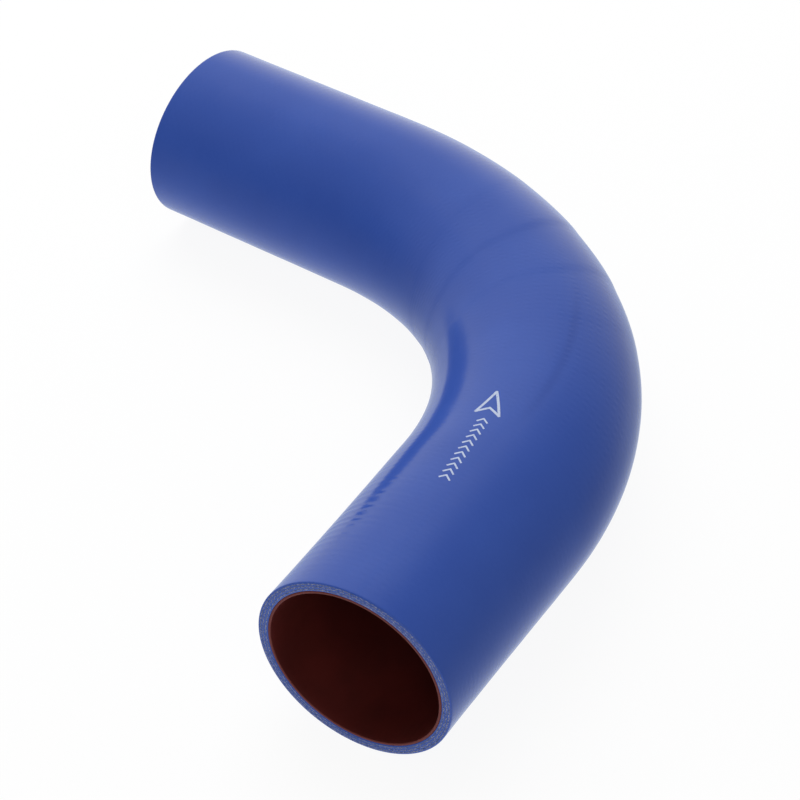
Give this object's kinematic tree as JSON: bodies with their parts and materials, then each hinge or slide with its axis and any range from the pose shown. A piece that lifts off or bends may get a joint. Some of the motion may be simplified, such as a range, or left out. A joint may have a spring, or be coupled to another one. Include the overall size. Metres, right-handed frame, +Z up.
{
  "type": "moulded water hose",
  "caption": "Moulded right-angle water hose for an engine: thick blue silicone wall with a red-brown liner, both ends cut plain.",
  "frame": {"origin": "on the surface that the hose lies on, under the middle of its box", "axes": "+Z up, square to the plane of the bend; -Y out of the near leg, -X out of the far leg"},
  "size_m": [0.2382, 0.2358, 0.069],
  "materials": {
    "jacket": "glossy blue silicone with the fine print of the cloth that it was wrapped in for curing",
    "plies": "cut ends of pale polyester yarn set in blue silicone",
    "liner": "satin red-brown silicone",
    "ink": "thin white printing ink, a little worn"
  },
  "bodies": {
    "root": {"hose": "jacket"}
  },
  "joints": []
}
